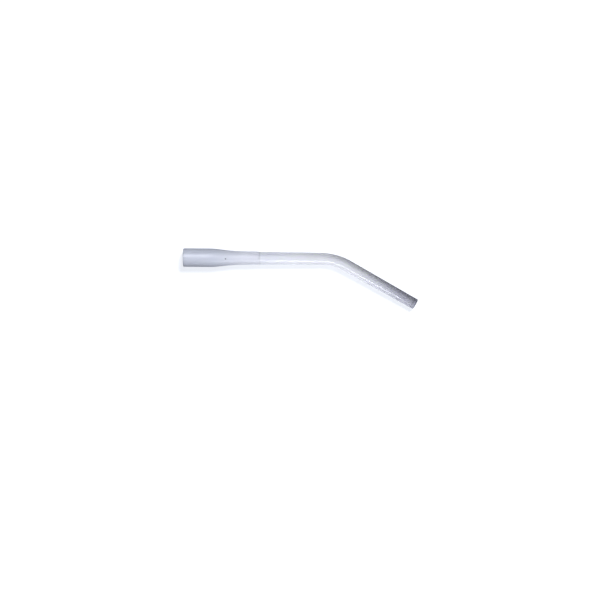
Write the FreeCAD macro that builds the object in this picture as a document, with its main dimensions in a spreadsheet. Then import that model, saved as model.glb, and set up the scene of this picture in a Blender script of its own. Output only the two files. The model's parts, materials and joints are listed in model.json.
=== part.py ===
"""Bendable saliva ejector tip with a wide connector for a suction valve.

A soft tapered tube carries a wire in its wall, so that its neck keeps the bend it is given. A moulded
connector is cemented on the tube's thick end, and a rounded ring plugs its thin end. Millimetres.
The origin is the centre of the connector's mouth, +X runs along the connector and the shank towards
the neck, and the tip is bent towards -Y in the XY plane.
"""

import FreeCAD, Part

import os

import Sketcher

# alias, value, what it is
DIMENSIONS = [
    ("hub_radius", 5.5, "connector: outside, a push fit in an 11 mm valve socket"),
    ("hub_bore", 4.35, "connector: radius of the open mouth"),
    ("shoulder_place", 18.1, "connector: mouth to the corner where its taper starts"),
    ("shoulder_round", 30.0, "connector: rounding of that corner"),
    ("waist_place", 30.4, "connector: mouth to the corner where its taper ends"),
    ("waist_radius", 4.11, "connector: radius at that corner"),
    ("waist_round", 93.0, "connector: rounding of that corner"),
    ("hub_length", 44.0, "connector: mouth to nose"),
    ("nose_radius", 3.97, "connector: outside radius at the nose"),
    ("lip_bore", 2.6, "connector: radius of the lip that the tube stops against"),
    ("lip_width", 1.6, "connector: width of that lip"),
    ("mouth_round", 0.5, "connector: rounding of the mouth's outer edge"),
    ("bore_round", 0.35, "connector: rounding of the mouth's inner edge"),
    ("gate_place", 25.4, "connector: mouth to the gate mark on the taper"),
    ("gate_side", 0.7, "connector: gate mark off the middle, towards -Y"),
    ("gate_radius", 0.45, "connector: radius of the gate mark's dimple"),
    ("gate_floor", 4.4, "connector: height of the dimple's floor above the axis"),
    ("tube_start", 16.0, "tube: mouth to its thick end, inside the connector"),
    ("tube_thick", 3.99, "tube: outside radius at the thick end"),
    ("tube_nose", 3.8, "tube: outside radius at the connector's nose"),
    ("tube_neck", 3.55, "tube: outside radius round the bend"),
    ("tube_thin", 3.22, "tube: outside radius at the thin end"),
    ("tube_bore", 2.3, "tube: radius of the suction passage"),
    ("rib_radius", 0.7, "tube: radius of the rib round the wire"),
    ("shank_end", 82.4, "tube: mouth to where the neck's bend starts"),
    ("bend_radius", 32.0, "neck: radius of the centre line"),
    ("bend_angle", 29.0, "neck: turn, in degrees"),
    ("tip_run", 45.3, "tube: straight run past the bend"),
    ("bond_gap", 0.02, "film of cement between two bonded faces"),
    ("wire_radius", 0.35, "wire: radius"),
    ("wire_depth", 2.5, "wire: below the tube's centre line"),
    ("ring_width", 1.8, "ring: the part that shows past the tube"),
    ("ring_port", 1.7, "ring: radius of the inlet"),
    ("ring_plug", 6.5, "ring: length of the plug inside the tube"),
    ("ring_round", 0.75, "ring: rounding of the outer edge"),
    ("port_round", 0.4, "ring: rounding of the inlet's edge"),
    ("slot_half", 0.85, "ring: half width of the plug's slot, which clears the rib"),
]

doc = FreeCAD.newDocument("saliva_ejector_tip")
sheet = doc.addObject("Spreadsheet::Sheet", "Sizes")


class Size:
    """A length and its expression on the sheet, so that a sum of lengths stays bound to the sheet."""

    def __init__(self, value, cell):
        self.value = value
        self.cell = cell

    def __add__(self, other):
        return Size(self.value + other.value, f"{self.cell} + {other.cell}")

    def __sub__(self, other):
        return Size(self.value - other.value, f"{self.cell} - ({other.cell})")

    def __neg__(self):
        return Size(-self.value, f"-({self.cell})")


def fill_sheet():
    """Puts the dimensions in the sheet, one row each, and gives them back by name."""
    named = {}
    for row, (alias, value, meaning) in enumerate(DIMENSIONS, start=1):
        sheet.set(f"A{row}", meaning)
        sheet.set(f"B{row}", str(value))
        sheet.setAlias(f"B{row}", alias)
        named[alias] = Size(value, f"Sizes.{alias}")
    doc.recompute()
    return named


size = fill_sheet()
ZERO = Size(0.0, "0")
CENTRE = (-1, 1)
ACROSS_AXIS = -1
UP_AXIS = -2
EDGE_MATCH = 1e-4

# the frame of the straight run past the bend, as expressions on the sheet
BEND_END_X = "Sizes.shank_end + Sizes.bend_radius * sin(Sizes.bend_angle)"
BEND_END_Y = "-Sizes.bend_radius * (1 - cos(Sizes.bend_angle))"


def new_body(name):
    """An empty body that is named after its node."""
    body = doc.addObject("PartDesign::Body", name)
    body.Label = name
    return body


def new_sketch(body, role, name):
    """An empty sketch on one of the body's own origin planes."""
    sketch = body.newObject("Sketcher::SketchObject", name)
    plane = next(item for item in body.Origin.OriginFeatures if item.Role == role)
    sketch.AttachmentSupport = [(plane, "")]
    sketch.MapMode = "FlatFace"
    return sketch


def hold_point(sketch, point, across, up):
    """Fixes a point of the sketch's geometry by its distances from the two axes."""
    for kind, length, axis in (("DistanceX", across, UP_AXIS), ("DistanceY", up, ACROSS_AXIS)):
        if length is ZERO:
            sketch.addConstraint(Sketcher.Constraint("PointOnObject", *point, axis))
        else:
            constraint = Sketcher.Constraint(kind, *CENTRE, *point, length.value)
            number = sketch.addConstraint(constraint)
            sketch.setExpression(f"Constraints[{number}]", length.cell)


def draw_polygon(sketch, corners):
    """A closed polygon with every corner held by two named lengths."""
    places = [FreeCAD.Vector(across.value, up.value, 0) for across, up in corners]
    edges = []
    for start, end in zip(places, places[1:] + places[:1]):
        edges.append(sketch.addGeometry(Part.LineSegment(start, end)))
    for edge, following in zip(edges, edges[1:] + edges[:1]):
        sketch.addConstraint(Sketcher.Constraint("Coincident", edge, 2, following, 1))
    for edge, (across, up) in zip(edges, corners):
        hold_point(sketch, (edge, 1), across, up)


def draw_circle(sketch, across, up, radius):
    """A circle with a held centre and a named radius."""
    middle = FreeCAD.Vector(across.value, up.value, 0)
    circle = sketch.addGeometry(Part.Circle(middle, FreeCAD.Vector(0, 0, 1), radius.value))
    if across is ZERO and up is ZERO:
        sketch.addConstraint(Sketcher.Constraint("Coincident", circle, 3, *CENTRE))
    else:
        hold_point(sketch, (circle, 3), across, up)
    number = sketch.addConstraint(Sketcher.Constraint("Radius", circle, radius.value))
    sketch.setExpression(f"Constraints[{number}]", radius.cell)


def volume(body):
    """The body's volume as it stands now."""
    doc.recompute()
    return body.Shape.Volume


def turn(body, kind, sketch, axis, angle=None):
    """A Revolution or Groove of the sketch about one of its own axes."""
    feature = body.newObject(f"PartDesign::{kind}", f"{body.Name}_{kind}")
    feature.Profile = sketch
    feature.ReferenceAxis = (sketch, [axis])
    feature.Angle = 360
    if angle:
        feature.setExpression("Angle", angle)
        feature.Reversed = True
    sketch.Visibility = False
    return feature


def cut(body, sketch, length=None, reverse=False):
    """A pocket from the sketch, through everything or to a named depth."""
    before = volume(body)
    pocket = body.newObject("PartDesign::Pocket", f"{sketch.Name}_cut")
    pocket.Profile = sketch
    pocket.Reversed = reverse
    if length:
        pocket.Type = "Length"
        pocket.setExpression("Length", length.cell)
    else:
        pocket.Type = "ThroughAll"
    if volume(body) >= before:
        raise RuntimeError(f"{pocket.Name} takes nothing away")
    return pocket


def round_edge(body, place, radius, rounding):
    """Rounds the body's circular edge of that radius at that place along its axis."""
    doc.recompute()
    base = body.Tip
    names = []
    for number, edge in enumerate(base.Shape.Edges, start=1):
        if not isinstance(edge.Curve, Part.Circle):
            continue
        off_place = abs(edge.Curve.Center.x - place.value)
        off_radius = abs(edge.Curve.Radius - radius.value)
        if off_place < EDGE_MATCH and off_radius < EDGE_MATCH:
            names.append(f"Edge{number}")
    fillet = body.newObject("PartDesign::Fillet", f"{body.Name}_round_{len(body.Group)}")
    fillet.Base = (base, names)
    fillet.setExpression("Radius", rounding.cell)
    doc.recompute()


def connector_hub():
    """Moulded connector: open mouth, lip that stops the tube, seat for the tube, and a tapered nose."""
    body = new_body("connector_hub")
    outline = new_sketch(body, "XY_Plane", "hub_outline")
    lip_end = size["tube_start"] - size["bond_gap"]
    lip_front = lip_end - size["lip_width"]
    slope = size["hub_bore"] - size["lip_bore"]
    draw_polygon(outline, [
        (ZERO, size["hub_bore"]),
        (ZERO, size["hub_radius"]),
        (size["shoulder_place"], size["hub_radius"]),
        (size["waist_place"], size["waist_radius"]),
        (size["hub_length"], size["nose_radius"]),
        (size["hub_length"], size["tube_nose"] + size["bond_gap"]),
        (lip_end, size["tube_thick"] + size["bond_gap"]),
        (lip_end, size["lip_bore"]),
        (lip_front, size["lip_bore"]),
        (lip_front - slope, size["hub_bore"]),
    ])
    turn(body, "Revolution", outline, "H_Axis")
    round_edge(body, size["shoulder_place"], size["hub_radius"], size["shoulder_round"])
    round_edge(body, size["waist_place"], size["waist_radius"], size["waist_round"])
    round_edge(body, ZERO, size["hub_radius"], size["mouth_round"])
    round_edge(body, ZERO, size["hub_bore"], size["bore_round"])
    gate = new_sketch(body, "XY_Plane", "hub_gate")
    gate.setExpression("AttachmentOffset.Base.z", size["gate_floor"].cell)
    draw_circle(gate, size["gate_place"], -size["gate_side"], size["gate_radius"])
    cut(body, gate, reverse=True)
    return body


def straight_tube(name, length, profile):
    """A straight run of tube: a turned wall, a rib along its underside, and the wire's passage."""
    body = new_body(name)
    outline = new_sketch(body, "XY_Plane", f"{name}_outline")
    draw_polygon(outline, profile)
    turn(body, "Revolution", outline, "H_Axis")
    rib = new_sketch(body, "YZ_Plane", f"{name}_rib")
    draw_circle(rib, ZERO, -size["wire_depth"], size["rib_radius"])
    pad = body.newObject("PartDesign::Pad", f"{name}_rib_pad")
    pad.Profile = rib
    pad.setExpression("Length", length.cell)
    passage = new_sketch(body, "YZ_Plane", f"{name}_passage")
    draw_circle(passage, ZERO, -size["wire_depth"], size["wire_radius"] + size["bond_gap"])
    cut(body, passage, length=length, reverse=True)
    return body


def tube_shank():
    """The tube from inside the connector to the bend."""
    length = size["shank_end"] - size["tube_start"]
    seat = size["hub_length"] - size["tube_start"]
    body = straight_tube("tube_shank", length, [
        (ZERO, size["tube_bore"]),
        (ZERO, size["tube_thick"]),
        (seat, size["tube_nose"]),
        (length, size["tube_neck"]),
        (length, size["tube_bore"]),
    ])
    body.setExpression("Placement.Base.x", size["tube_start"].cell)
    return body


def past_the_bend(part, along):
    """Stands a part on the straight run past the bend, some way along it."""
    part.Placement.Rotation = FreeCAD.Rotation(FreeCAD.Vector(0, 0, -1), 10)
    part.setExpression("Placement.Rotation.Angle", "Sizes.bend_angle")
    part.setExpression("Placement.Base.x", f"{BEND_END_X} + ({along.cell}) * cos(Sizes.bend_angle)")
    part.setExpression("Placement.Base.y", f"{BEND_END_Y} - ({along.cell}) * sin(Sizes.bend_angle)")


def tube_tip():
    """The tube from the bend to its thin end."""
    body = straight_tube("tube_tip", size["tip_run"], [
        (ZERO, size["tube_bore"]),
        (ZERO, size["tube_neck"]),
        (size["tip_run"], size["tube_thin"]),
        (size["tip_run"], size["tube_bore"]),
    ])
    past_the_bend(body, ZERO)
    return body


def at_the_bend(part):
    """Stands a part on the bend's own centre."""
    part.setExpression("Placement.Base.x", size["shank_end"].cell)
    part.setExpression("Placement.Base.y", f"-{size['bend_radius'].cell}")


def tube_elbow():
    """The tube's neck: the same section carried round the bend."""
    body = new_body("tube_elbow")
    wall = new_sketch(body, "YZ_Plane", "elbow_wall")
    draw_circle(wall, size["bend_radius"], ZERO, size["tube_neck"])
    draw_circle(wall, size["bend_radius"], ZERO, size["tube_bore"])
    turn(body, "Revolution", wall, "V_Axis", "Sizes.bend_angle")
    rib = new_sketch(body, "YZ_Plane", "elbow_rib")
    draw_circle(rib, size["bend_radius"], -size["wire_depth"], size["rib_radius"])
    turn(body, "Revolution", rib, "V_Axis", "Sizes.bend_angle")
    before = volume(body)
    passage = new_sketch(body, "YZ_Plane", "elbow_passage")
    draw_circle(passage, size["bend_radius"], -size["wire_depth"], size["wire_radius"] + size["bond_gap"])
    turn(body, "Groove", passage, "V_Axis", "Sizes.bend_angle")
    if volume(body) >= before:
        raise RuntimeError("the elbow's passage takes nothing away")
    at_the_bend(body)
    return body


def tip_cap():
    """Rounded ring on the thin end: a slotted plug inside the tube, and a flange that is the tip's end."""
    body = new_body("tip_cap")
    outline = new_sketch(body, "XY_Plane", "cap_outline")
    flange = size["ring_plug"] + size["bond_gap"]
    end = size["ring_plug"] + size["ring_width"]
    plug = size["tube_bore"] - size["bond_gap"]
    draw_polygon(outline, [
        (ZERO, size["ring_port"]),
        (ZERO, plug),
        (flange, plug),
        (flange, size["tube_thin"]),
        (end, size["tube_thin"]),
        (end, size["ring_port"]),
    ])
    turn(body, "Revolution", outline, "H_Axis")
    round_edge(body, end, size["tube_thin"], size["ring_round"])
    round_edge(body, end, size["ring_port"], size["port_round"])
    slot = new_sketch(body, "XY_Plane", "cap_slot")
    draw_polygon(slot, [
        (ZERO, -size["slot_half"]),
        (size["ring_plug"], -size["slot_half"]),
        (size["ring_plug"], size["slot_half"]),
        (ZERO, size["slot_half"]),
    ])
    cut(body, slot)
    past_the_bend(body, size["tip_run"] - size["ring_plug"])
    return body


def straight_wire(name, length):
    """A straight run of the wire, below the tube's centre line."""
    body = new_body(name)
    section = new_sketch(body, "YZ_Plane", f"{name}_section")
    draw_circle(section, ZERO, -size["wire_depth"], size["wire_radius"])
    pad = body.newObject("PartDesign::Pad", f"{name}_pad")
    pad.Profile = section
    pad.setExpression("Length", length.cell)
    return body


def wire_shank():
    """The wire from the tube's thick end to the bend."""
    body = straight_wire("wire_shank", size["shank_end"] - size["tube_start"])
    body.setExpression("Placement.Base.x", size["tube_start"].cell)
    return body


def wire_tip():
    """The wire from the bend to the tube's thin end."""
    body = straight_wire("wire_tip", size["tip_run"])
    past_the_bend(body, ZERO)
    return body


def wire_elbow():
    """The wire round the bend, which is what holds the neck's shape."""
    body = new_body("wire_elbow")
    section = new_sketch(body, "YZ_Plane", "wire_elbow_section")
    draw_circle(section, size["bend_radius"], -size["wire_depth"], size["wire_radius"])
    turn(body, "Revolution", section, "V_Axis", "Sizes.bend_angle")
    at_the_bend(body)
    return body


pieces = [
    connector_hub(),
    tube_shank(),
    tube_elbow(),
    tube_tip(),
    wire_shank(),
    wire_elbow(),
    wire_tip(),
    tip_cap(),
]
doc.recompute()

for item in doc.Objects:
    if "Invalid" in item.State or "Error" in item.State:
        raise RuntimeError(f"{item.Name} did not compute: {item.State}")
for piece in pieces:
    if piece.Shape.isNull() or not piece.Shape.isValid() or len(piece.Shape.Solids) != 1:
        raise RuntimeError(f"{piece.Label} is not one valid solid")

os.makedirs("parts", exist_ok=True)
for piece in pieces:
    piece.Shape.exportStep(f"parts/{piece.Label}.step")
    box = piece.Shape.optimalBoundingBox()
    print(
        f"{piece.Label:14} {piece.Shape.Volume:8.1f} mm3"
        f"  x {box.XMin:7.2f} {box.XMax:7.2f}"
        f"  y {box.YMin:7.2f} {box.YMax:7.2f}"
        f"  z {box.ZMin:6.2f} {box.ZMax:6.2f}"
    )
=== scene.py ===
import json
import math

import bmesh
import bpy
import numpy as np
from mathutils import Matrix, Vector


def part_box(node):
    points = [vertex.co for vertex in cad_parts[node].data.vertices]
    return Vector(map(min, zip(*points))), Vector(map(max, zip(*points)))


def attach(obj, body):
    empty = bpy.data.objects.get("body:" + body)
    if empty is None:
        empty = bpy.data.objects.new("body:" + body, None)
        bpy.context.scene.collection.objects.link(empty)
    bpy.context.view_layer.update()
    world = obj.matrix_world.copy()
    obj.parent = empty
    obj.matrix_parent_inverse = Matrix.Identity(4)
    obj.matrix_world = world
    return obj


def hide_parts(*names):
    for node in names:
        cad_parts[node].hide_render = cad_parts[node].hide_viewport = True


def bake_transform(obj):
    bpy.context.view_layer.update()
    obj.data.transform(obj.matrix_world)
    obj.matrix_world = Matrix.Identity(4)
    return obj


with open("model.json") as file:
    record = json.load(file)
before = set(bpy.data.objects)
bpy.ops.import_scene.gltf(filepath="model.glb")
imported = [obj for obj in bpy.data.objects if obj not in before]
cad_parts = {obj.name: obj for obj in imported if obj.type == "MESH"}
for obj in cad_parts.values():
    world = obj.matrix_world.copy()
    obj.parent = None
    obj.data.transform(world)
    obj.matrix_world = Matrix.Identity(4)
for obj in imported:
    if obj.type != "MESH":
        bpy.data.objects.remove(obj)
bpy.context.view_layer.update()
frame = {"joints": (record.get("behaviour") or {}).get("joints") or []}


# ------------------------------------------------------------------------------------------------
# The wire: soft annealed steel, drawn to 0.7 mm, fed into the die as the tube is extruded over it, so
# it lies in the tube's wall from end to end. It is what keeps the neck's bend, so its three CAD
# pieces are one piece here.

MM = 0.001
shank_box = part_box("tube_shank")
elbow_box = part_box("tube_elbow")
wire_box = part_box("wire_shank")

TIP_RUN = 45.3 * MM
# The neck's lower limit is the tube made straight, so it is the bend's angle turned back.
BEND_ANGLE = -math.radians(frame["joints"][0]["range_deg"][0])
tube_start = shank_box[0].x
bend_start = shank_box[1].x
neck_radius = elbow_box[1].z
bend_radius = (elbow_box[1].x - bend_start) / math.sin(BEND_ANGLE) - neck_radius
bend_end = bend_start + bend_radius * BEND_ANGLE
tube_end = bend_end + TIP_RUN


def lay_along(run, side, up):
    """The tube's straight coordinates laid on its bent centre line.

    The heading turns evenly from nought to the bend's angle between the bend's start and end. The
    centre is a straight line up to the bend, an arc of the bend's radius, and a straight line on from
    the arc's end. A point stands off the centre by side, square to the heading, and by up.
    """
    run, side, up = np.broadcast_arrays(run, side, up)
    heading = np.clip((run - bend_start) / bend_radius, 0.0, BEND_ANGLE)
    beyond = np.maximum(run - bend_end, 0.0)
    x = np.minimum(run, bend_start) + bend_radius * np.sin(heading) + beyond * math.cos(BEND_ANGLE)
    y = -bend_radius * (1.0 - np.cos(heading)) - beyond * math.sin(BEND_ANGLE)
    return np.stack([x + side * np.sin(heading), y + side * np.cos(heading), up], axis=-1)


def add_grid(name, points, closed_rows=True):
    """A piece from a grid of points, rows by columns, whose columns close round on themselves.

    Corner (r, c) is joined to (r + 1, c), (r + 1, c + 1) and (r, c + 1). The enclosed volume is the
    sum of each face's corner dotted with its area vector, and if it is negative the faces are turned.
    Points that fall together, as at a pole, are merged.
    """
    rows, columns = points.shape[:2]
    number = np.arange(rows * columns).reshape(rows, columns)
    below = np.roll(number, -1, axis=0)
    if not closed_rows:
        number, below = number[:-1], below[:-1]
    beside, diagonal = np.roll(number, -1, axis=1), np.roll(below, -1, axis=1)
    quads = np.stack([number, below, diagonal, beside], axis=-1).reshape(-1, 4)
    flat = points.reshape(-1, 3)
    a, b, c, d = (flat[quads[:, corner]] for corner in range(4))
    if np.einsum("ij,ij->", a, np.cross(c - a, d - b)) < 0:
        quads = quads[:, ::-1]
    mesh = bpy.data.meshes.new(name)
    mesh.from_pydata(flat.tolist(), [], quads.tolist())
    shell = bmesh.new()
    shell.from_mesh(mesh)
    bmesh.ops.remove_doubles(shell, verts=shell.verts, dist=1e-7)
    shell.to_mesh(mesh)
    shell.free()
    mesh.shade_smooth()
    piece = bpy.data.objects.new(name, mesh)
    bpy.context.scene.collection.objects.link(piece)
    return piece


class Value:
    """A number that varies over a surface. Arithmetic on it adds Math nodes to its material."""

    def __init__(self, finish, socket):
        self.finish = finish
        self.socket = socket

    def math(self, operation, *inputs):
        return self.finish.node("ShaderNodeMath", {"operation": operation}, dict(enumerate(inputs)))

    def __add__(self, other):
        return self.math("ADD", self, other)

    def __sub__(self, other):
        return self.math("SUBTRACT", self, other)

    def __mul__(self, other):
        return self.math("MULTIPLY", self, other)

    def __pow__(self, other):
        return self.math("POWER", self, other)

    def __rsub__(self, other):
        return self.math("SUBTRACT", other, self)

    def __neg__(self):
        return self.math("MULTIPLY", self, -1.0)

    __radd__ = __add__
    __rmul__ = __mul__

    def step(self, low, high):
        """A smooth step from 0 at low to 1 at high."""
        settings = {"interpolation_type": "SMOOTHSTEP"}
        return self.finish.node("ShaderNodeMapRange", settings, {"Value": self, 1: low, 2: high})


class Finish:
    """A material, and the nodes that vary it over the surface."""

    def __init__(self, name, **sockets):
        self.material = bpy.data.materials.new(name)
        self.material.use_nodes = True
        self.tree = self.material.node_tree
        self.shader = self.tree.nodes["Principled BSDF"]
        for name, value in sockets.items():
            self.plug(self.socket(name), value)

    def socket(self, name):
        """The shader's own socket by its name in lower case with underscores."""
        return self.shader.inputs[name.replace("_", " ").title().replace("Ior", "IOR")]

    def plug(self, socket, value):
        """Puts a number, a link, or a colour without its alpha in a socket."""
        if isinstance(value, Value):
            self.tree.links.new(value.socket, socket)
        elif socket.type == "RGBA":
            socket.default_value = (*value, 1.0)
        else:
            socket.default_value = value

    def node(self, kind, settings=None, inputs=None, output=0):
        """A node with its settings made first and its inputs after, given back as an output."""
        node = self.tree.nodes.new(kind)
        for name, value in (settings or {}).items():
            setattr(node, name, value)
        for name, value in (inputs or {}).items():
            self.plug(node.inputs[name], value)
        return Value(self, node.outputs[output])

    def place(self, attribute=None):
        """Where a point is: in its object, or in a vector attribute of the mesh."""
        if attribute:
            settings = {"attribute_type": "GEOMETRY", "attribute_name": attribute}
            return self.node("ShaderNodeAttribute", settings, output="Vector")
        return self.node("ShaderNodeTexCoord", output="Object")

    def axes(self, place):
        """A place's three coordinates as numbers."""
        parts = self.node("ShaderNodeSeparateXYZ", inputs={0: place}).socket.node.outputs
        return [Value(self, part) for part in parts]

    def stretch(self, place, factors):
        """A place with its coordinates multiplied, one factor for each."""
        return self.node("ShaderNodeVectorMath", {"operation": "MULTIPLY"}, {0: place, 1: factors})

    def noise(self, place, density, detail=2.0):
        """Fractal noise about 0.5, whose density is its bumps in a metre along each axis."""
        inputs = {"Vector": self.stretch(place, density), "Scale": 1.0, "Detail": detail}
        return self.node("ShaderNodeTexNoise", inputs=inputs)

    def mix(self, amount, first, second):
        """A colour between two, by an amount from 0 to 1."""
        inputs = {"Factor": amount, 6: first, 7: second}
        return self.node("ShaderNodeMix", {"data_type": "RGBA"}, inputs, output=2)

    def dress(self, piece, height=None, distance=1.0, **varying):
        """Links what varies to the shader, a height as its bump, and puts the material on a piece."""
        for name, value in varying.items():
            self.plug(self.socket(name), value)
        if height is not None:
            bump = self.node("ShaderNodeBump", inputs={"Distance": distance, "Height": height})
            self.plug(self.socket("normal"), bump)
        piece.data.materials.clear()
        piece.data.materials.append(self.material)


WIRE_TONE = (0.52, 0.51, 0.50)
WIRE_MARK_TONE = (0.416, 0.408, 0.40)
WIRE_MARKS = (60.0, 9000.0, 9000.0)
WIRE_RINGS = 240
WIRE_SIDES = 20
NECK_REACH = 3 * MM  # how far past the bend's ends the wire and the tube still give
wire_radius = (wire_box[1].z - wire_box[0].z) / 2
wire_drop = -(wire_box[1].z + wire_box[0].z) / 2


def wire_mesh():
    """A circle of the wire's radius carried along the tube's run, below its centre line.

    The radius is nought at the first and last rows, which close the ends.
    """
    run = np.linspace(tube_start, tube_end, WIRE_RINGS)
    run = np.concatenate([run[:1], run, run[-1:]])
    radius = np.full(run.shape, wire_radius)
    radius[[0, -1]] = 0.0
    angle = np.linspace(0.0, 2.0 * math.pi, WIRE_SIDES, endpoint=False)
    side = radius[:, None] * np.cos(angle)
    up = radius[:, None] * np.sin(angle) - wire_drop
    return add_grid("shape_wire", lay_along(run[:, None], side, up), closed_rows=False)


def wire_finish(piece):
    """Drawn steel: fine lengthwise die marks in its roughness and its shade."""
    steel = Finish("drawn_steel", metallic=1.0)
    marks = steel.noise(steel.place(), WIRE_MARKS, detail=3.0)
    tone = steel.mix(marks, WIRE_MARK_TONE, WIRE_TONE)
    steel.dress(
        piece, height=marks, distance=0.01 * MM, base_color=tone, roughness=0.2 + 0.25 * marks,
    )


wire = wire_mesh()
wire_finish(wire)
neck_start = lay_along(bend_start - NECK_REACH, 0.0, 0.0)
neck_finish = lay_along(bend_end + NECK_REACH, 0.0, 0.0)
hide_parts("wire_shank", "wire_elbow", "wire_tip")
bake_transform(wire)


# ------------------------------------------------------------------------------------------------
# The tube: soft, slightly milky vinyl, extruded with a taper by the speed of the puller, with a rib
# inside that covers the wire. It is one piece from the lip inside the connector to the ring, so it
# stands for its three CAD pieces.

TUBE_BORE = 2.3 * MM
TUBE_AT_NOSE = 3.8 * MM
RIB_RADIUS = 0.7 * MM
RIB_FILLET = 0.12 * MM
RIB_HALF_ANGLE = 0.4
END_ROUND = 0.05 * MM
FLAT_IN_BEND = 0.03
PULLER_WAVE = 0.008 * MM
CLOSE_ROWS = 8 * MM  # how far past the bend's ends the rows stay close
MILK_DEPTHS = (1.0, 0.95, 1.1)  # how far red, green and blue light goes in, against the scale
# The tube's tones along its run are painted shade: brightest at the bend, darker next to the
# connector's nose and much darker towards the tip, where the light falls off.
VINYL_SHADED_AT_NOSE = (0.84, 0.865, 0.91)
VINYL_AT_BEND = (0.935, 0.955, 1.0)
VINYL_SHADED_AT_TIP = (0.595, 0.60, 0.665)
VINYL_CLOUD = (0.52, 0.55, 0.68)
# Painted shade: the grey of the line where the wire darkens the milky wall from inside.
WIRE_SHADE_IN_WALL = (0.40, 0.41, 0.46)
DIE_LINES = (30.0, 2600.0, 2600.0)
VINYL_CLOUDS = (90.0, 160.0, 160.0)
VINYL_GRAIN = (3500.0, 5200.0, 5200.0)
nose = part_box("connector_hub")[1].x
tube_thick = shank_box[1].z
tube_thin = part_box("tip_cap")[1].z


def tube_outside(run):
    """The outer radius: straight tapers between the ends, the connector's nose and the even neck.

    The puller's unevenness adds three slow waves of a hundredth of a millimetre or so.
    """
    knots = [tube_start, nose, bend_start, bend_end, tube_end]
    taper = np.interp(run, knots, [tube_thick, TUBE_AT_NOSE, neck_radius, neck_radius, tube_thin])
    waves = np.sin(run / (5.3 * MM))
    waves = waves + 0.7 * np.sin(run / (8.9 * MM) + 1.3) + 0.5 * np.sin(run / (2.7 * MM) + 4.0)
    return taper + PULLER_WAVE * waves


def tube_inside(angle):
    """The bore's radius at an angle: a circle, drawn in over the rib along the underside.

    The rib is a circle round the wire. Its near side is at d cos a - sqrt(rr - dd sin a sin a), and
    the smaller of the two radii is taken with a small soft fillet between them.
    """
    off = angle + math.pi / 2
    under_root = RIB_RADIUS**2 - (wire_drop * np.sin(off)) ** 2
    rib = wire_drop * np.cos(off) - np.sqrt(np.maximum(under_root, 0.0))
    rib = np.where((under_root > 0) & (np.cos(off) > 0), rib, 2 * TUBE_BORE)
    return -RIB_FILLET * np.logaddexp(-rib / RIB_FILLET, -TUBE_BORE / RIB_FILLET)


def tube_mesh():
    """A wall between the bore and the outside, carried along the run and closed on itself.

    The rows go out along the outside, round the thin end, back along the bore and round the thick
    end. The section is a little flatter across the bend, by a bump of sine shape over its arc.
    """
    out = np.concatenate([
        np.linspace(tube_start + END_ROUND, bend_start - CLOSE_ROWS, 70),
        np.linspace(bend_start - CLOSE_ROWS, bend_end + CLOSE_ROWS, 90)[1:],
        np.linspace(bend_end + CLOSE_ROWS, tube_end - END_ROUND, 50)[1:],
    ])
    back = out[::-2]
    run = np.concatenate([out, [tube_end], [tube_end], back, [tube_start], [tube_start]])
    edge = END_ROUND / (tube_thin - TUBE_BORE)
    wall = [np.ones(len(out)), [1 - edge, edge], np.zeros(len(back)), [edge, 1 - edge]]
    wall = np.concatenate(wall)[:, None]
    around = np.linspace(-math.pi, math.pi, 120, endpoint=False)
    rib_side = np.linspace(-RIB_HALF_ANGLE, RIB_HALF_ANGLE, 34) - math.pi / 2
    angle = np.unique(np.concatenate([around, rib_side]))[None, :]
    inside = tube_inside(angle)
    radius = inside + wall * (tube_outside(run)[:, None] - inside)
    share = np.clip((run - bend_start) / (bend_end - bend_start), 0.0, 1.0)
    bump = np.sin(math.pi * share)[:, None]
    side = radius * np.cos(angle) * (1 - FLAT_IN_BEND * bump)
    up = radius * np.sin(angle) * (1 + 0.6 * FLAT_IN_BEND * bump)
    straight = np.stack(np.broadcast_arrays(run[:, None], side, up), axis=-1)
    piece = add_grid("tube", lay_along(run[:, None], side, up))
    return piece, straight


def remember(piece, name, values):
    """Keeps a vector for every point of a grid with no merged points, in grid order."""
    attribute = piece.data.attributes.new(name, "FLOAT_VECTOR", "POINT")
    attribute.data.foreach_set("vector", values.astype(np.float32).ravel())


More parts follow.
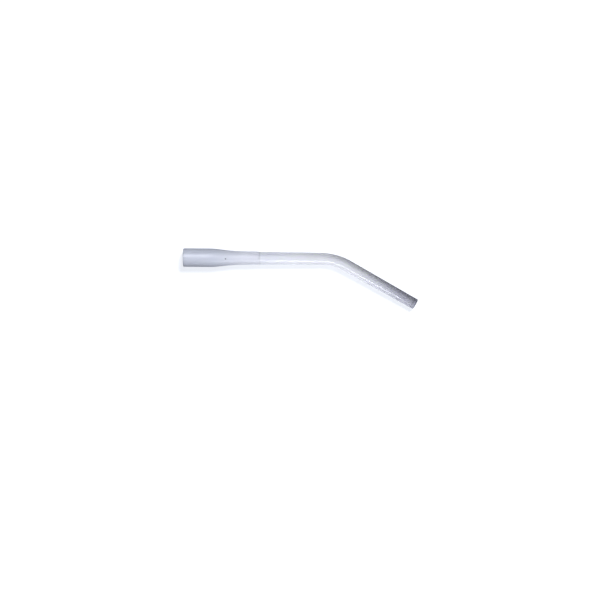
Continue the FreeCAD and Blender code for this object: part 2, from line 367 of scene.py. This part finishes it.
def tube_finish(piece):
    """Milky vinyl: die lines along it, a slow clouding, and a grey line of painted shade over the
    wire.

    The tone goes from the nose's to the bend's over the shank, and to the tip's over the last part.
    This is painted shade: darker next to the connector's nose and much darker towards the tip.
    The line is painted shade of the wire darkening the milky wall from inside, where the wall lies
    under the axis and less than the wire's width to the side.
    """
    vinyl = Finish(
        "milky_vinyl", ior=1.53, specular_ior_level=0.25,
        subsurface_weight=0.55, subsurface_scale=1.6 * MM, subsurface_radius=MILK_DEPTHS,
        coat_weight=1.0, coat_roughness=0.08, coat_ior=1.55,
    )
    straight = vinyl.place("straight")
    run, side, up = vinyl.axes(straight)
    die_lines = vinyl.noise(straight, DIE_LINES, detail=4.0)
    clouds = vinyl.noise(straight, VINYL_CLOUDS)
    grain = vinyl.noise(straight, VINYL_GRAIN)
    # Painted shade along the run: darker at the nose, brightest at the bend, much darker towards the
    # tip.
    shank_painted_shade = vinyl.mix(run.step(nose, 75 * MM), VINYL_SHADED_AT_NOSE, VINYL_AT_BEND)
    plain = vinyl.mix(run.step(103 * MM, 145 * MM), shank_painted_shade, VINYL_SHADED_AT_TIP)
    cloudy = vinyl.mix(0.10 * clouds + 0.06 * die_lines, plain, VINYL_CLOUD)
    # Painted shade: a grey line on the underside, over the wire inside the wall.
    under = (-up).step(2.6 * MM, 3.4 * MM)
    over_wire = 1 - ((side * side) ** 0.5).step(0.15 * MM, 0.75 * MM)
    shown = vinyl.mix(0.22 * under * over_wire, cloudy, WIRE_SHADE_IN_WALL)
    vinyl.dress(
        piece, height=0.6 * die_lines + 0.25 * grain, distance=0.008 * MM, base_color=shown,
        roughness=0.30 + 0.10 * die_lines + 0.06 * clouds,
    )


tube, straight_places = tube_mesh()
remember(tube, "straight", straight_places)
tube_finish(tube)
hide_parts("tube_shank", "tube_elbow", "tube_tip")
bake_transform(tube)


# ------------------------------------------------------------------------------------------------
# The connector: moulded in one piece, a parallel open mouth that pushes into the valve, a lip inside
# that the tube stops against, and a tapered nose. It is slid on the tube's thick end and cemented, and
# a bead of the cement fills the corner at its nose. Its taper has the small pit of the gate.

HUB_BORE = 4.35 * MM
MOUTH_ROUND = 0.5 * MM
BORE_ROUND = 0.35 * MM
SHOULDER = 18.1 * MM
SHOULDER_ROUND = 30.0 * MM
WAIST = 30.4 * MM
WAIST_RADIUS = 4.11 * MM
WAIST_ROUND = 93.0 * MM
NOSE_RADIUS = 3.97 * MM
NOSE_ROUND = 5.0 * MM
CEMENT_RUN = 1.8 * MM
LIP_BORE = 2.6 * MM
LIP_WIDTH = 1.6 * MM
SEAT_GAP = 0.02 * MM
OUTER_SKIN = (4.9 * MM, 4.9 * MM, 4.15 * MM, 3.9 * MM)
GATE_PLACE = 25.4 * MM
GATE_SIDE = -0.7 * MM
GATE_RADIUS = 0.45 * MM
GATE_DEPTH = 0.26 * MM
BURR_HEIGHT = 0.05 * MM
STUB_HEIGHT = 0.16 * MM
SEAM_HEIGHT = 0.025 * MM
SEAM_WIDTH = 0.09 * MM
HAZE_DEPTHS = (1.0, 0.98, 1.1)
MOUTH_TONE = (0.64, 0.675, 0.73)
NOSE_TONE = (0.875, 0.90, 0.96)
FLOW_TONE = (0.45, 0.49, 0.62)
# painted shade: the dark colour put in the gate's pit
GATE_PIT_SHADE = (0.16, 0.16, 0.20)
FLOW_CLOUDS = (110.0, 240.0, 240.0)
SPARK_GRAIN = (3800.0, 3800.0, 3800.0)
hub_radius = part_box("connector_hub")[1].z


def rounded(corners, steps=9):
    """A closed outline from corners of (along, out, rounding), each an arc tangent to its sides.

    The arc starts a tangent length, rounding times the tangent of half the turn, before the corner.
    It leaves its first side by one less the cosine of the sweep and follows it by the sine.
    """
    outline = []
    befores, afters = corners[-1:] + corners[:-1], corners[1:] + corners[:1]
    for before, corner, after in zip(befores, corners, afters):
        point, rounding = np.array(corner[:2]), corner[2]
        if rounding == 0.0:
            outline.append(point[None, :])
            continue
        inward = point - np.array(before[:2])
        onward = np.array(after[:2]) - point
        inward = inward / np.linalg.norm(inward)
        onward = onward / np.linalg.norm(onward)
        turn = math.atan2(inward[0] * onward[1] - inward[1] * onward[0], inward @ onward)
        start = point - inward * rounding * math.tan(abs(turn) / 2)
        normal = np.array([-inward[1], inward[0]]) * math.copysign(1.0, turn)
        sweep = np.linspace(0.0, abs(turn), steps)[:, None]
        outline.append(start + rounding * (np.sin(sweep) * inward + (1 - np.cos(sweep)) * normal))
    return np.concatenate(outline)


def refined(outline, spacing):
    """A closed outline with points added on each side longer than the spacing at its start."""
    pieces = []
    for point, after in zip(outline, np.roll(outline, -1, axis=0)):
        count = math.ceil(np.linalg.norm(after - point) / spacing(*point))
        share = np.linspace(0.0, 1.0, count, endpoint=False)[:, None]
        pieces.append(point + (after - point) * share)
    return np.concatenate(pieces)


def smooth_step(value, low, high):
    """0 below low, 1 above high, and 3 t t - 2 t t t between them."""
    share = np.clip((value - low) / (high - low), 0.0, 1.0)
    return share * share * (3.0 - 2.0 * share)


def hub_mesh():
    """The connector's outline turned about the axis, with the gate's pit and the mould's seams.

    The pit is a smooth step down inside its radius, with a low burr round it and the broken gate's
    stub in its middle. A seam is a low bell-shaped ridge at each side, where the mould's halves meet.
    Both are only on the outer skin, whose least radius goes along the connector in straight lines.
    """
    lip_front = tube_start - LIP_WIDTH
    outline = rounded([
        (0.0, HUB_BORE, BORE_ROUND),
        (0.0, hub_radius, MOUTH_ROUND),
        (SHOULDER, hub_radius, SHOULDER_ROUND),
        (WAIST, WAIST_RADIUS, WAIST_ROUND),
        (nose, NOSE_RADIUS, NOSE_ROUND),
        (nose + CEMENT_RUN, TUBE_AT_NOSE, 0.01 * MM),
        (nose, TUBE_AT_NOSE + SEAT_GAP, 0.0),
        (tube_start, tube_thick + SEAT_GAP, 0.05 * MM),
        (tube_start, LIP_BORE, 0.1 * MM),
        (lip_front, LIP_BORE, 0.4 * MM),
        (lip_front - (HUB_BORE - LIP_BORE), HUB_BORE, 0.6 * MM),
    ])
    outline = refined(outline, lambda along, out: 0.7 * MM)
    outline = refined(outline, lambda along, out: (
        0.08 * MM if abs(along - GATE_PLACE) < 1.5 * MM and out > WAIST_RADIUS else 1.0 * MM
    ))
    along, out = outline[:, :1], outline[:, 1:]
    gate_angle = math.pi / 2 - GATE_SIDE / (WAIST_RADIUS + 0.6 * MM)
    angle = np.unique(np.concatenate([
        np.linspace(-math.pi, math.pi, 132, endpoint=False),
        gate_angle + np.linspace(-0.26, 0.26, 36),
        np.linspace(-0.05, 0.05, 11),
        np.linspace(math.pi - 0.05, math.pi, 6),
        np.linspace(-math.pi, 0.05 - math.pi, 6)[1:],
    ]))[None, :]
    outer_skin = out > np.interp(along, [0, tube_start, tube_start + 4 * MM, nose], OUTER_SKIN)
    from_gate = np.hypot(along - GATE_PLACE, out * (angle - gate_angle))
    pit = -GATE_DEPTH * (1 - smooth_step(from_gate, 0.75 * GATE_RADIUS, 1.1 * GATE_RADIUS))
    burr = BURR_HEIGHT * np.exp(-((from_gate - 1.25 * GATE_RADIUS) / (0.2 * GATE_RADIUS)) ** 2)
    stub = STUB_HEIGHT * np.exp(-((from_gate / (0.3 * GATE_RADIUS)) ** 2))
    off_seam = out * (np.abs(np.abs(angle) - math.pi / 2) - math.pi / 2)
    from_mouth = smooth_step(along, 0.8 * MM, 1.6 * MM)
    to_nose = 1 - smooth_step(along, nose - 1 * MM, nose)
    seam = SEAM_HEIGHT * np.exp(-((off_seam / SEAM_WIDTH) ** 2)) * (from_mouth * to_nose)
    radius = out + np.where(outer_skin, pit + burr + stub + seam, 0.0)
    return add_grid("connector", lay_along(along, radius * np.cos(angle), radius * np.sin(angle)))


def hub_finish(piece):
    """Moulded plastic: a fine spark-eroded grain, flow clouds from the gate, a greyer mouth, and
    painted shade in the gate's pit.
    """
    plastic = Finish(
        "moulded_plastic", ior=1.49,
        subsurface_weight=0.2, subsurface_scale=1.4 * MM, subsurface_radius=HAZE_DEPTHS,
    )
    place = plastic.place()
    run, side, up = plastic.axes(place)
    clouds = plastic.noise(place, FLOW_CLOUDS, detail=3.0)
    grain = plastic.noise(place, SPARK_GRAIN)
    tone = plastic.mix(run.step(18 * MM, 40 * MM), MOUTH_TONE, NOSE_TONE)
    plain = plastic.mix(0.14 * clouds, tone, FLOW_TONE)
    gate_run, gate_across = run - GATE_PLACE, side - GATE_SIDE
    from_gate = (gate_run * gate_run + gate_across * gate_across) ** 0.5
    # Painted shade in the gate's pit, where it lies on the connector's taper.
    in_gate = (1 - from_gate.step(0.7 * GATE_RADIUS, 1.15 * GATE_RADIUS)) * up.step(0.0, 1 * MM)
    shown = plastic.mix(0.85 * in_gate, plain, GATE_PIT_SHADE)
    plastic.dress(
        piece, height=grain, distance=0.012 * MM, base_color=shown,
        roughness=0.27 + 0.09 * clouds + 0.05 * grain,
    )


hub = hub_mesh()
hub_finish(hub)
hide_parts("connector_hub")
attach(hub, "shank")


# ------------------------------------------------------------------------------------------------
# The ring: a small moulded cap that is plugged and cemented into the tube's thin end, so that no cut
# edge or wire end meets the mouth's lining. Its flange is the tip's rounded end, with the inlet in it,
# and its plug is slotted where the tube's rib passes.

RING_WIDTH = 1.8 * MM
RING_PORT = 1.7 * MM
RING_PLUG = 6.5 * MM
RING_ROUND = 0.75 * MM
PORT_ROUND = 0.4 * MM
SLOT_HALF_ANGLE = math.radians(25.0)
# Painted shade: the ring's tone is as dark as the tube's tip, where the light falls off.
RING_SHADED_TONE = (0.58, 0.59, 0.66)
RING_CLOUD = (0.42, 0.43, 0.50)
RING_CLOUDS = (420.0, 420.0, 420.0)
RING_GRAIN = (4200.0, 4200.0, 4200.0)


def ring_mesh():
    """The ring's outline turned about the tube's run, with the plug's length set by the angle.

    The plug is whole outside the slot's half angle and has no length inside it. The change falls
    between two columns at one angle, which make the slot's sides.
    """
    outline = rounded([
        (-RING_PLUG, RING_PORT, 0.0),
        (-RING_PLUG, TUBE_BORE - SEAT_GAP, 0.0),
        (0.0, TUBE_BORE - SEAT_GAP, 0.0),
        (0.0, tube_thin, 0.03 * MM),
        (RING_WIDTH, tube_thin, RING_ROUND),
        (RING_WIDTH, RING_PORT, PORT_ROUND),
        (0.0, RING_PORT, 0.0),
    ], steps=12)
    under = 1.5 * math.pi
    whole = np.linspace(SLOT_HALF_ANGLE - math.pi / 2, under - SLOT_HALF_ANGLE, 110)
    slotted = np.linspace(under - SLOT_HALF_ANGLE, under + SLOT_HALF_ANGLE, 17)
    angle = np.concatenate([whole, slotted])[None, :]
    keeps_plug = np.concatenate([np.ones(len(whole)), np.zeros(len(slotted))])[None, :]
    along = np.where(outline[:, :1] < 0, outline[:, :1] * keeps_plug, outline[:, :1])
    out = outline[:, 1:]
    points = lay_along(tube_end + along, out * np.cos(angle), out * np.sin(angle))
    return add_grid("tip_ring", points)


def ring_finish(piece):
    """Moulded vinyl, glossier than the tube, with a fine grain. Its tone is as dark as the tube's tip,
    painted shade where the light falls off, and a little greyer still.
    """
    vinyl = Finish(
        "moulded_vinyl", ior=1.53,
        subsurface_weight=0.45, subsurface_scale=1.2 * MM, subsurface_radius=MILK_DEPTHS,
    )
    place = vinyl.place()
    clouds = vinyl.noise(place, RING_CLOUDS)
    grain = vinyl.noise(place, RING_GRAIN)
    # Painted shade in the ring's tone, with random clouds over it.
    shown = vinyl.mix(0.15 * clouds, RING_SHADED_TONE, RING_CLOUD)
    vinyl.dress(
        piece, height=grain, distance=0.01 * MM, base_color=shown,
        roughness=0.25 + 0.08 * clouds + 0.05 * grain,
    )


ring = ring_mesh()
ring_finish(ring)
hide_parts("tip_cap")
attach(ring, "tip")


# ------------------------------------------------------------------------------------------------
# The stage: a white table with grey cards on it, where the part lies on its side and is seen from
# above. A backdrop lies just over the table. The camera sees only the backdrop, which shows the part's
# shadow, and the part sees only the table, so each is lit by lamps of its own.

FRAME_WIDTH = 358.8 * MM
LENS = 100.0
SENSOR = 36.0
LOOK_AT = (70.0 * MM, -24.8 * MM)
CAMERA_ROLL = math.radians(0.5)
SIGHT = 10.0
BOARD_REACH = 10.0
BOARD_SLOPE = 0.0178  # brings the boards up to the thin end, where a part that lies down touches
CONTACT = 18 * MM
TABLE_GAP = 0.1 * MM
TABLE_TONE = (0.93, 0.94, 0.95)
CARD_TONE = (0.22, 0.22, 0.23)
BACKDROP_TONE = (0.30, 0.30, 0.31)
BACKDROP_GLOW = (0.815, 0.845, 0.90)
ROOM_TONE = (0.95, 0.96, 0.98)
LAMP_TINT = (0.98, 0.99, 1.08)
DAYLIGHT_FROM = (0.32, 0.51, 1.0)
DAYLIGHT_POWER = 3.4
DAYLIGHT_SPREAD = math.radians(16)


def add_board(name, depth, **sockets):
    """A square matt board, and its finish.

    Its height is its slope times the distance along X from where the connector touches it, less a
    depth under the part's axis.
    """
    corners = [
        (across, along, BOARD_SLOPE * (across - CONTACT) - depth)
        for across, along in (
            (-BOARD_REACH, -BOARD_REACH), (BOARD_REACH, -BOARD_REACH),
            (BOARD_REACH, BOARD_REACH), (-BOARD_REACH, BOARD_REACH),
        )
    ]
    mesh = bpy.data.meshes.new(name)
    mesh.from_pydata(corners, [], [(0, 1, 2, 3)])
    board = bpy.data.objects.new(name, mesh)
    bpy.context.scene.collection.objects.link(board)
    return board, Finish(name, roughness=0.8, **sockets)


def lay_cards(paper):
    """Grey card under the connector and in a band behind the tip, and white paper everywhere else.

    A point's distance behind the tip is how far it is from the tip's line, square to that line: the
    sine of the bend times its X from the neck's end, and the cosine times its Y from there, added.
    """
    across, along, _ = paper.axes(paper.place())
    past_neck, above_neck = across - neck_finish[0], along - neck_finish[1]
    behind = past_neck * math.sin(BEND_ANGLE) + above_neck * math.cos(BEND_ANGLE)
    band = behind.step(0.0, 10 * MM) * (1 - behind.step(20 * MM, 40 * MM))
    white = across.step(20 * MM, 42 * MM) * (1 - across.step(76 * MM, 102 * MM) * band)
    return paper.mix(white, CARD_TONE, TABLE_TONE)


def light_group(name, board, state):
    """What a lamp reaches: only the board if its state is INCLUDE, and all but it if EXCLUDE."""
    group = bpy.data.collections.new(name)
    group.objects.link(board)
    group.collection_objects[0].light_linking.link_state = state
    return group


def add_lamp(name, place, aim, size, heading, power):
    """A soft lamp on the part, with its length along a heading, which the camera doesn't see.

    Its back points from the aim to its place, and its length is the heading less what lies along
    its back. The third side is their cross product.
    """
    lamp = bpy.data.lights.new(name, "AREA")
    lamp.shape = "RECTANGLE"
    lamp.size, lamp.size_y = size[0] * MM, size[1] * MM
    lamp.energy = power
    lamp.color = LAMP_TINT
    back = (Vector(place) - Vector((*aim, 0.0))).normalized()
    length = Vector((math.cos(math.radians(heading)), math.sin(math.radians(heading)), 0.0))
    length = (length - back * length.dot(back)).normalized()
    light = bpy.data.objects.new(name, lamp)
    bpy.context.scene.collection.objects.link(light)
    light.location = Vector(place) * MM
    light.rotation_euler = Matrix((length, back.cross(length), back)).transposed().to_euler()
    light.visible_camera = False
    light.light_linking.receiver_collection = on_part


table, paper = add_board("table", hub_radius + TABLE_GAP)
paper.dress(table, base_color=lay_cards(paper))
table.visible_camera = False

backdrop, screen = add_board(
    "backdrop", hub_radius,
    base_color=BACKDROP_TONE, emission_color=BACKDROP_GLOW, emission_strength=1.0,
)
screen.dress(backdrop)
backdrop.visible_diffuse = False
backdrop.visible_glossy = False
backdrop.visible_transmission = False
backdrop.visible_shadow = False

on_part = light_group("on_part", backdrop, "EXCLUDE")
on_board = light_group("on_board", backdrop, "INCLUDE")

# Each lamp's name, its place and the point that it faces in millimetres, its length and width in
# millimetres, its length's heading in degrees, and its power in watts.
LAMPS = [
    ("overhead", (70, 40, 1300), (70, -25), (1000, 1000), 0, 2.2),
    ("high_left", (0, 60, 150), (70, -25), (80, 80), 0, 0.186),
    ("low_left", (0, -60, 150), (70, -25), (80, 80), 0, 0.015),
    ("front", (60, -90, 74), (70, -25), (80, 30), -20, 0.045),
    ("front_low", (80, -110, 50), (70, -25), (60, 60), 0, 0.024),
]
for lamp in LAMPS:
    add_lamp(*lamp)

daylight = bpy.data.lights.new("daylight", "SUN")
daylight.energy = DAYLIGHT_POWER
daylight.angle = DAYLIGHT_SPREAD
daylight.color = LAMP_TINT
sun = bpy.data.objects.new("daylight", daylight)
bpy.context.scene.collection.objects.link(sun)
sun.rotation_euler = Vector(DAYLIGHT_FROM).to_track_quat("Z", "Y").to_euler()
sun.light_linking.receiver_collection = on_board

world = bpy.data.worlds.new("room")
world.use_nodes = True
world.node_tree.nodes["Background"].inputs["Color"].default_value = (*ROOM_TONE, 1.0)
world.cycles_visibility.diffuse = False
world.cycles_visibility.glossy = False
world.cycles_visibility.transmission = False
bpy.context.scene.world = world
bpy.context.scene.view_settings.view_transform = "Standard"

camera_data = bpy.data.cameras.new("camera")
camera_data.lens = LENS
camera_data.sensor_width = SENSOR
camera_data.clip_end = SIGHT
camera = bpy.data.objects.new("camera", camera_data)
camera.location = (*LOOK_AT, FRAME_WIDTH * LENS / SENSOR)
camera.rotation_euler = (0.0, 0.0, CAMERA_ROLL)
bpy.context.scene.collection.objects.link(camera)
bpy.context.scene.camera = camera
